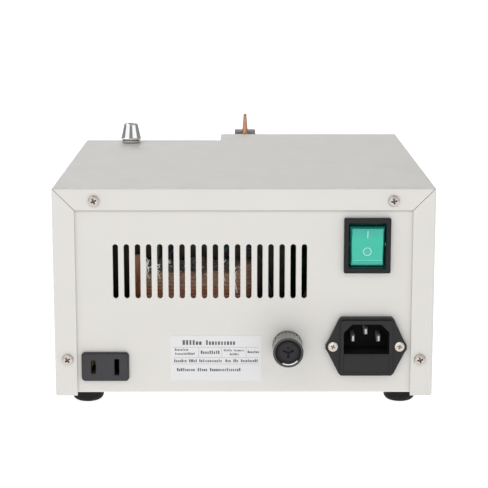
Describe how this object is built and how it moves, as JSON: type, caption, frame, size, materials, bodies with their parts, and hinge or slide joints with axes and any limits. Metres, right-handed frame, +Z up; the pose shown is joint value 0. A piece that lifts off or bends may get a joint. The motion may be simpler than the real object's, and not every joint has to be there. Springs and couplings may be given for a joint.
{
  "type": "spot welder",
  "caption": "Bench spot welder in a stepped steel case, with a sprung upper arm over a fixed lower electrode and a rear mains panel.",
  "frame": {"origin": "On the table under the feet, at mid width and at mid length between the fuse cap at the rear and the clamp screw heads at the front.", "axes": "+Z up, +Y towards the mains panel at the rear, +X to the right for someone who faces the controls."},
  "size_m": [0.21, 0.2696, 0.1349],
  "materials": {
    "painted_steel": "satin fine-texture powder coat",
    "label_film": "satin paper-faced film",
    "nickel_screw": "nickel-plated",
    "black_rubber": "moulded rubber",
    "black_plastic": "fine-grain moulded plastic",
    "green_rocker": "translucent green moulding",
    "contact_metal": "tinned",
    "fuse_glass": "clear glass with plated ends",
    "grey_plastic": "dark grey moulding",
    "brass": "machined brass",
    "bright_chrome": "polished chrome",
    "plated_steel": "zinc-plated or ground steel",
    "control_film": "printed polycarbonate film",
    "red_lens": "smoked red acrylic",
    "black_dial": "satin black moulding",
    "red_cap": "gloss red moulding",
    "white_cap": "gloss off-white moulding",
    "led_lens": "diffused LED lens",
    "wire_sleeve": "flexible PVC sleeve",
    "circuit_board": "green solder mask",
    "phenolic": "dark phenolic laminate",
    "nylon": "natural nylon",
    "copper": "bare copper",
    "winding": "varnished copper winding",
    "core_steel": "varnished laminations",
    "sink_aluminium": "extruded aluminium"
  },
  "bodies": {
    "case": {"top_cover": "painted_steel", "base_chassis": "painted_steel", "front_panel": "painted_steel", "rating_label": "label_film", "cover_screws": "nickel_screw", "rubber_feet": "black_rubber", "foot_screws": "nickel_screw", "switch_housing": "black_plastic", "switch_tabs": "contact_metal", "inlet_body": "black_plastic", "inlet_blades": "contact_metal", "inlet_screws": "nickel_screw", "outlet_body": "grey_plastic", "outlet_contacts": "brass", "fuse_holder_body": "black_plastic", "fuse_holder_nut": "black_plastic", "pot_bodies": "plated_steel", "pot_nuts": "plated_steel", "control_overlay": "control_film", "display_module": "black_plastic", "display_lens": "red_lens", "key_switches": "black_plastic", "indicator_leds": "led_lens", "control_board": "circuit_board", "board_standoffs": "brass", "pedal_jack": "black_plastic", "output_studs": "brass", "stud_insulators": "black_plastic", "head_insulator": "phenolic", "head_frame": "plated_steel", "pivot_shaft": "plated_steel", "lower_arm": "brass", "lower_electrode": "copper", "lower_clamp": "plated_steel", "pressure_spring": "plated_steel", "transformer_core": "core_steel", "transformer_coil": "winding", "lower_busbar": "copper", "flexible_link": "copper", "thyristor_heatsink": "sink_aluminium", "internal_wiring": "wire_sleeve"},
    "mains_rocker": {"switch_rocker": "green_rocker"},
    "inlet_drawer": {"inlet_fuse_drawer": "black_plastic", "inlet_fuse": "fuse_glass"},
    "fuse_holder_carrier": {"fuse_carrier": "black_plastic", "panel_fuse": "fuse_glass"},
    "fuse_holder_cap": {"fuse_cap": "black_plastic"},
    "top_dial": {"chrome_knob": "bright_chrome", "top_pot_shaft": "plated_steel"},
    "pulse_dial": {"pulse_knob": "black_dial", "pulse_shaft": "plated_steel"},
    "current_dial": {"current_knob": "black_dial", "current_shaft": "plated_steel"},
    "weld_push": {"weld_button": "red_cap"},
    "up_push": {"up_key": "white_cap"},
    "down_push": {"down_key": "white_cap"},
    "weld_arm": {"upper_arm": "brass", "upper_electrode": "copper", "upper_clamp": "plated_steel", "pivot_bush": "nylon"}
  },
  "joints": [
    {"name": "mains_rocker_tilt", "type": "hinge", "parent": "case", "child": "mains_rocker", "pos_m": [-0.0665, 0.11505, 0.0911], "axis": [1, 0, 0], "range_deg": [0, 16]},
    {"name": "inlet_drawer_slide", "type": "slide", "parent": "case", "child": "inlet_drawer", "axis": [0, 1, 0], "range_m": [0, 0.024]},
    {"name": "fuse_carrier_slide", "type": "slide", "parent": "case", "child": "fuse_holder_carrier", "axis": [0, 1, 0], "range_m": [0, 0.035]},
    {"name": "fuse_cap_turn", "type": "hinge", "parent": "fuse_holder_carrier", "child": "fuse_holder_cap", "pos_m": [-0.0238, 0.13325, 0.0357], "axis": [0, 1, 0], "range_deg": [0, 75]},
    {"name": "top_dial_turn", "type": "hinge", "parent": "case", "child": "top_dial", "pos_m": [0.0728, -0.0672, 0.1225], "axis": [0, 0, 1], "range_deg": [-150, 150]},
    {"name": "pulse_dial_turn", "type": "hinge", "parent": "case", "child": "pulse_dial", "pos_m": [-0.076, -0.1093, 0.0655], "axis": [0, -1, 0], "range_deg": [-150, 150]},
    {"name": "current_dial_turn", "type": "hinge", "parent": "case", "child": "current_dial", "pos_m": [-0.04, -0.1093, 0.0655], "axis": [0, -1, 0], "range_deg": [-150, 150]},
    {"name": "weld_button_press", "type": "slide", "parent": "case", "child": "weld_push", "axis": [0, 1, 0], "range_m": [0, 0.003], "stiffness_N_per_m": 300, "springref_m": -0.002},
    {"name": "up_key_press", "type": "slide", "parent": "case", "child": "up_push", "axis": [0, 1, 0], "range_m": [0, 0.0015], "stiffness_N_per_m": 400, "springref_m": -0.001},
    {"name": "down_key_press", "type": "slide", "parent": "case", "child": "down_push", "axis": [0, 1, 0], "range_m": [0, 0.0015], "stiffness_N_per_m": 400, "springref_m": -0.001},
    {"name": "weld_arm_lift", "type": "hinge", "parent": "case", "child": "weld_arm", "pos_m": [-0.0012, -0.0562, 0.1055], "axis": [-1, 0, 0], "range_deg": [0, 6], "stiffness_Nm_per_rad": 3, "springref_deg": -11.46, "deforming": ["pressure_spring", "flexible_link"]}
  ]
}
